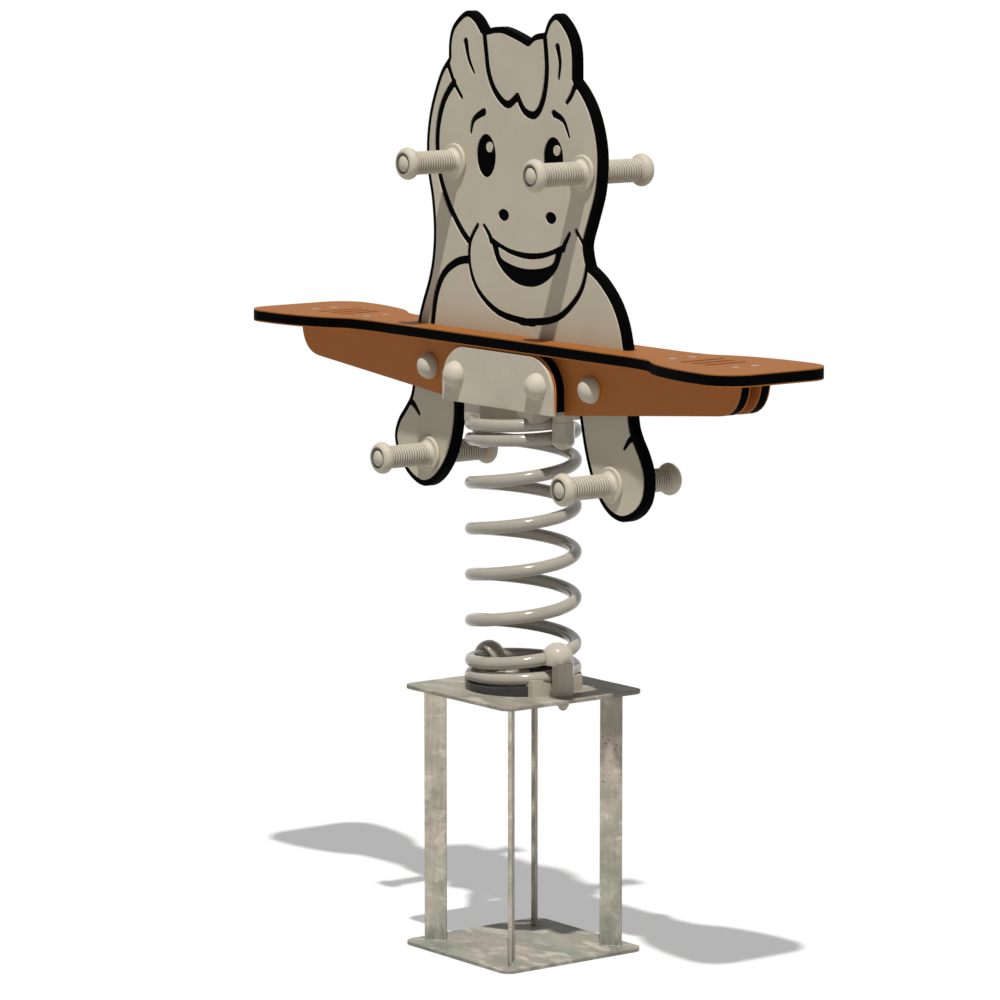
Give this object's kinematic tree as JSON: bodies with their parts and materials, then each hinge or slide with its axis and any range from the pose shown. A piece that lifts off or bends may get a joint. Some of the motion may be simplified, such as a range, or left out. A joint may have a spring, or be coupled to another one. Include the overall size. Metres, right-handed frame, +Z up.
{
  "type": "spring rider",
  "caption": "Two-seat playground spring rider: a pony-shaped board panel with plank seat, grips and foot pegs on a coil spring over a steel ground anchor.",
  "frame": {"origin": "centre of the anchor base plate's underside", "axes": "+X along the plank seat, +Y through the panel away from the viewer, +Z up"},
  "size_m": [1.244, 0.274, 1.4779],
  "materials": {
    "galvanised": "hot-dip galvanised, mottled",
    "coated_steel": "glossy powder coat",
    "beige_board": "satin, fine grain",
    "brown_board": "satin, fine grain",
    "black_core": "matt, cut edge",
    "beige_plastic": "moulded, satin",
    "black_rubber": "matt",
    "zinc": "zinc plated"
  },
  "bodies": {
    "anchor": {"anchor_base_plate": "galvanised", "anchor_legs": "galvanised", "anchor_top_plate": "galvanised", "spring_seat_ring": "black_rubber", "lower_clamp_blocks": "coated_steel", "lower_clamp_jaws": "coated_steel", "lower_clamp_bolts": "zinc", "lower_clamp_washers": "zinc"},
    "spring": {"coil_spring": "coated_steel"},
    "rider": {"upper_clamp_blocks": "coated_steel", "upper_clamp_jaws": "coated_steel", "upper_clamp_bolts": "zinc", "head_plate": "coated_steel", "front_bracket_plate": "coated_steel", "rear_bracket_plate": "coated_steel", "front_spacer_core": "black_core", "front_spacer_skins": "brown_board", "rear_spacer_core": "black_core", "rear_spacer_skins": "brown_board", "front_beam_core": "black_core", "front_beam_skins": "brown_board", "rear_beam_core": "black_core", "rear_beam_skins": "brown_board", "panel_core": "black_core", "panel_front_skin": "beige_board", "panel_rear_skin": "beige_board", "seat_core": "black_core", "seat_top_skin": "brown_board", "seat_bottom_skin": "brown_board", "seat_screws": "zinc", "bracket_bolts": "zinc", "beam_bolts": "zinc", "bolt_nuts": "zinc", "cap_bases": "beige_plastic", "bolt_caps": "beige_plastic", "hand_axles": "zinc", "hand_grips": "beige_plastic", "foot_axles": "zinc", "foot_pegs": "beige_plastic", "axle_nuts": "zinc", "grip_buttons": "beige_plastic"}
  },
  "joints": [
    {"name": "rock_fore_aft", "type": "hinge", "parent": "anchor", "child": "spring", "pos_m": [0, 0, 0.5385], "axis": [0, 1, 0], "range_deg": [-20, 20], "stiffness_Nm_per_rad": 568, "deforming": ["coil_spring"]},
    {"name": "rock_sideways", "type": "hinge", "parent": "spring", "child": "rider", "pos_m": [0, 0, 0.7445], "axis": [1, 0, 0], "range_deg": [-15, 15], "stiffness_Nm_per_rad": 568, "deforming": ["coil_spring"]}
  ]
}
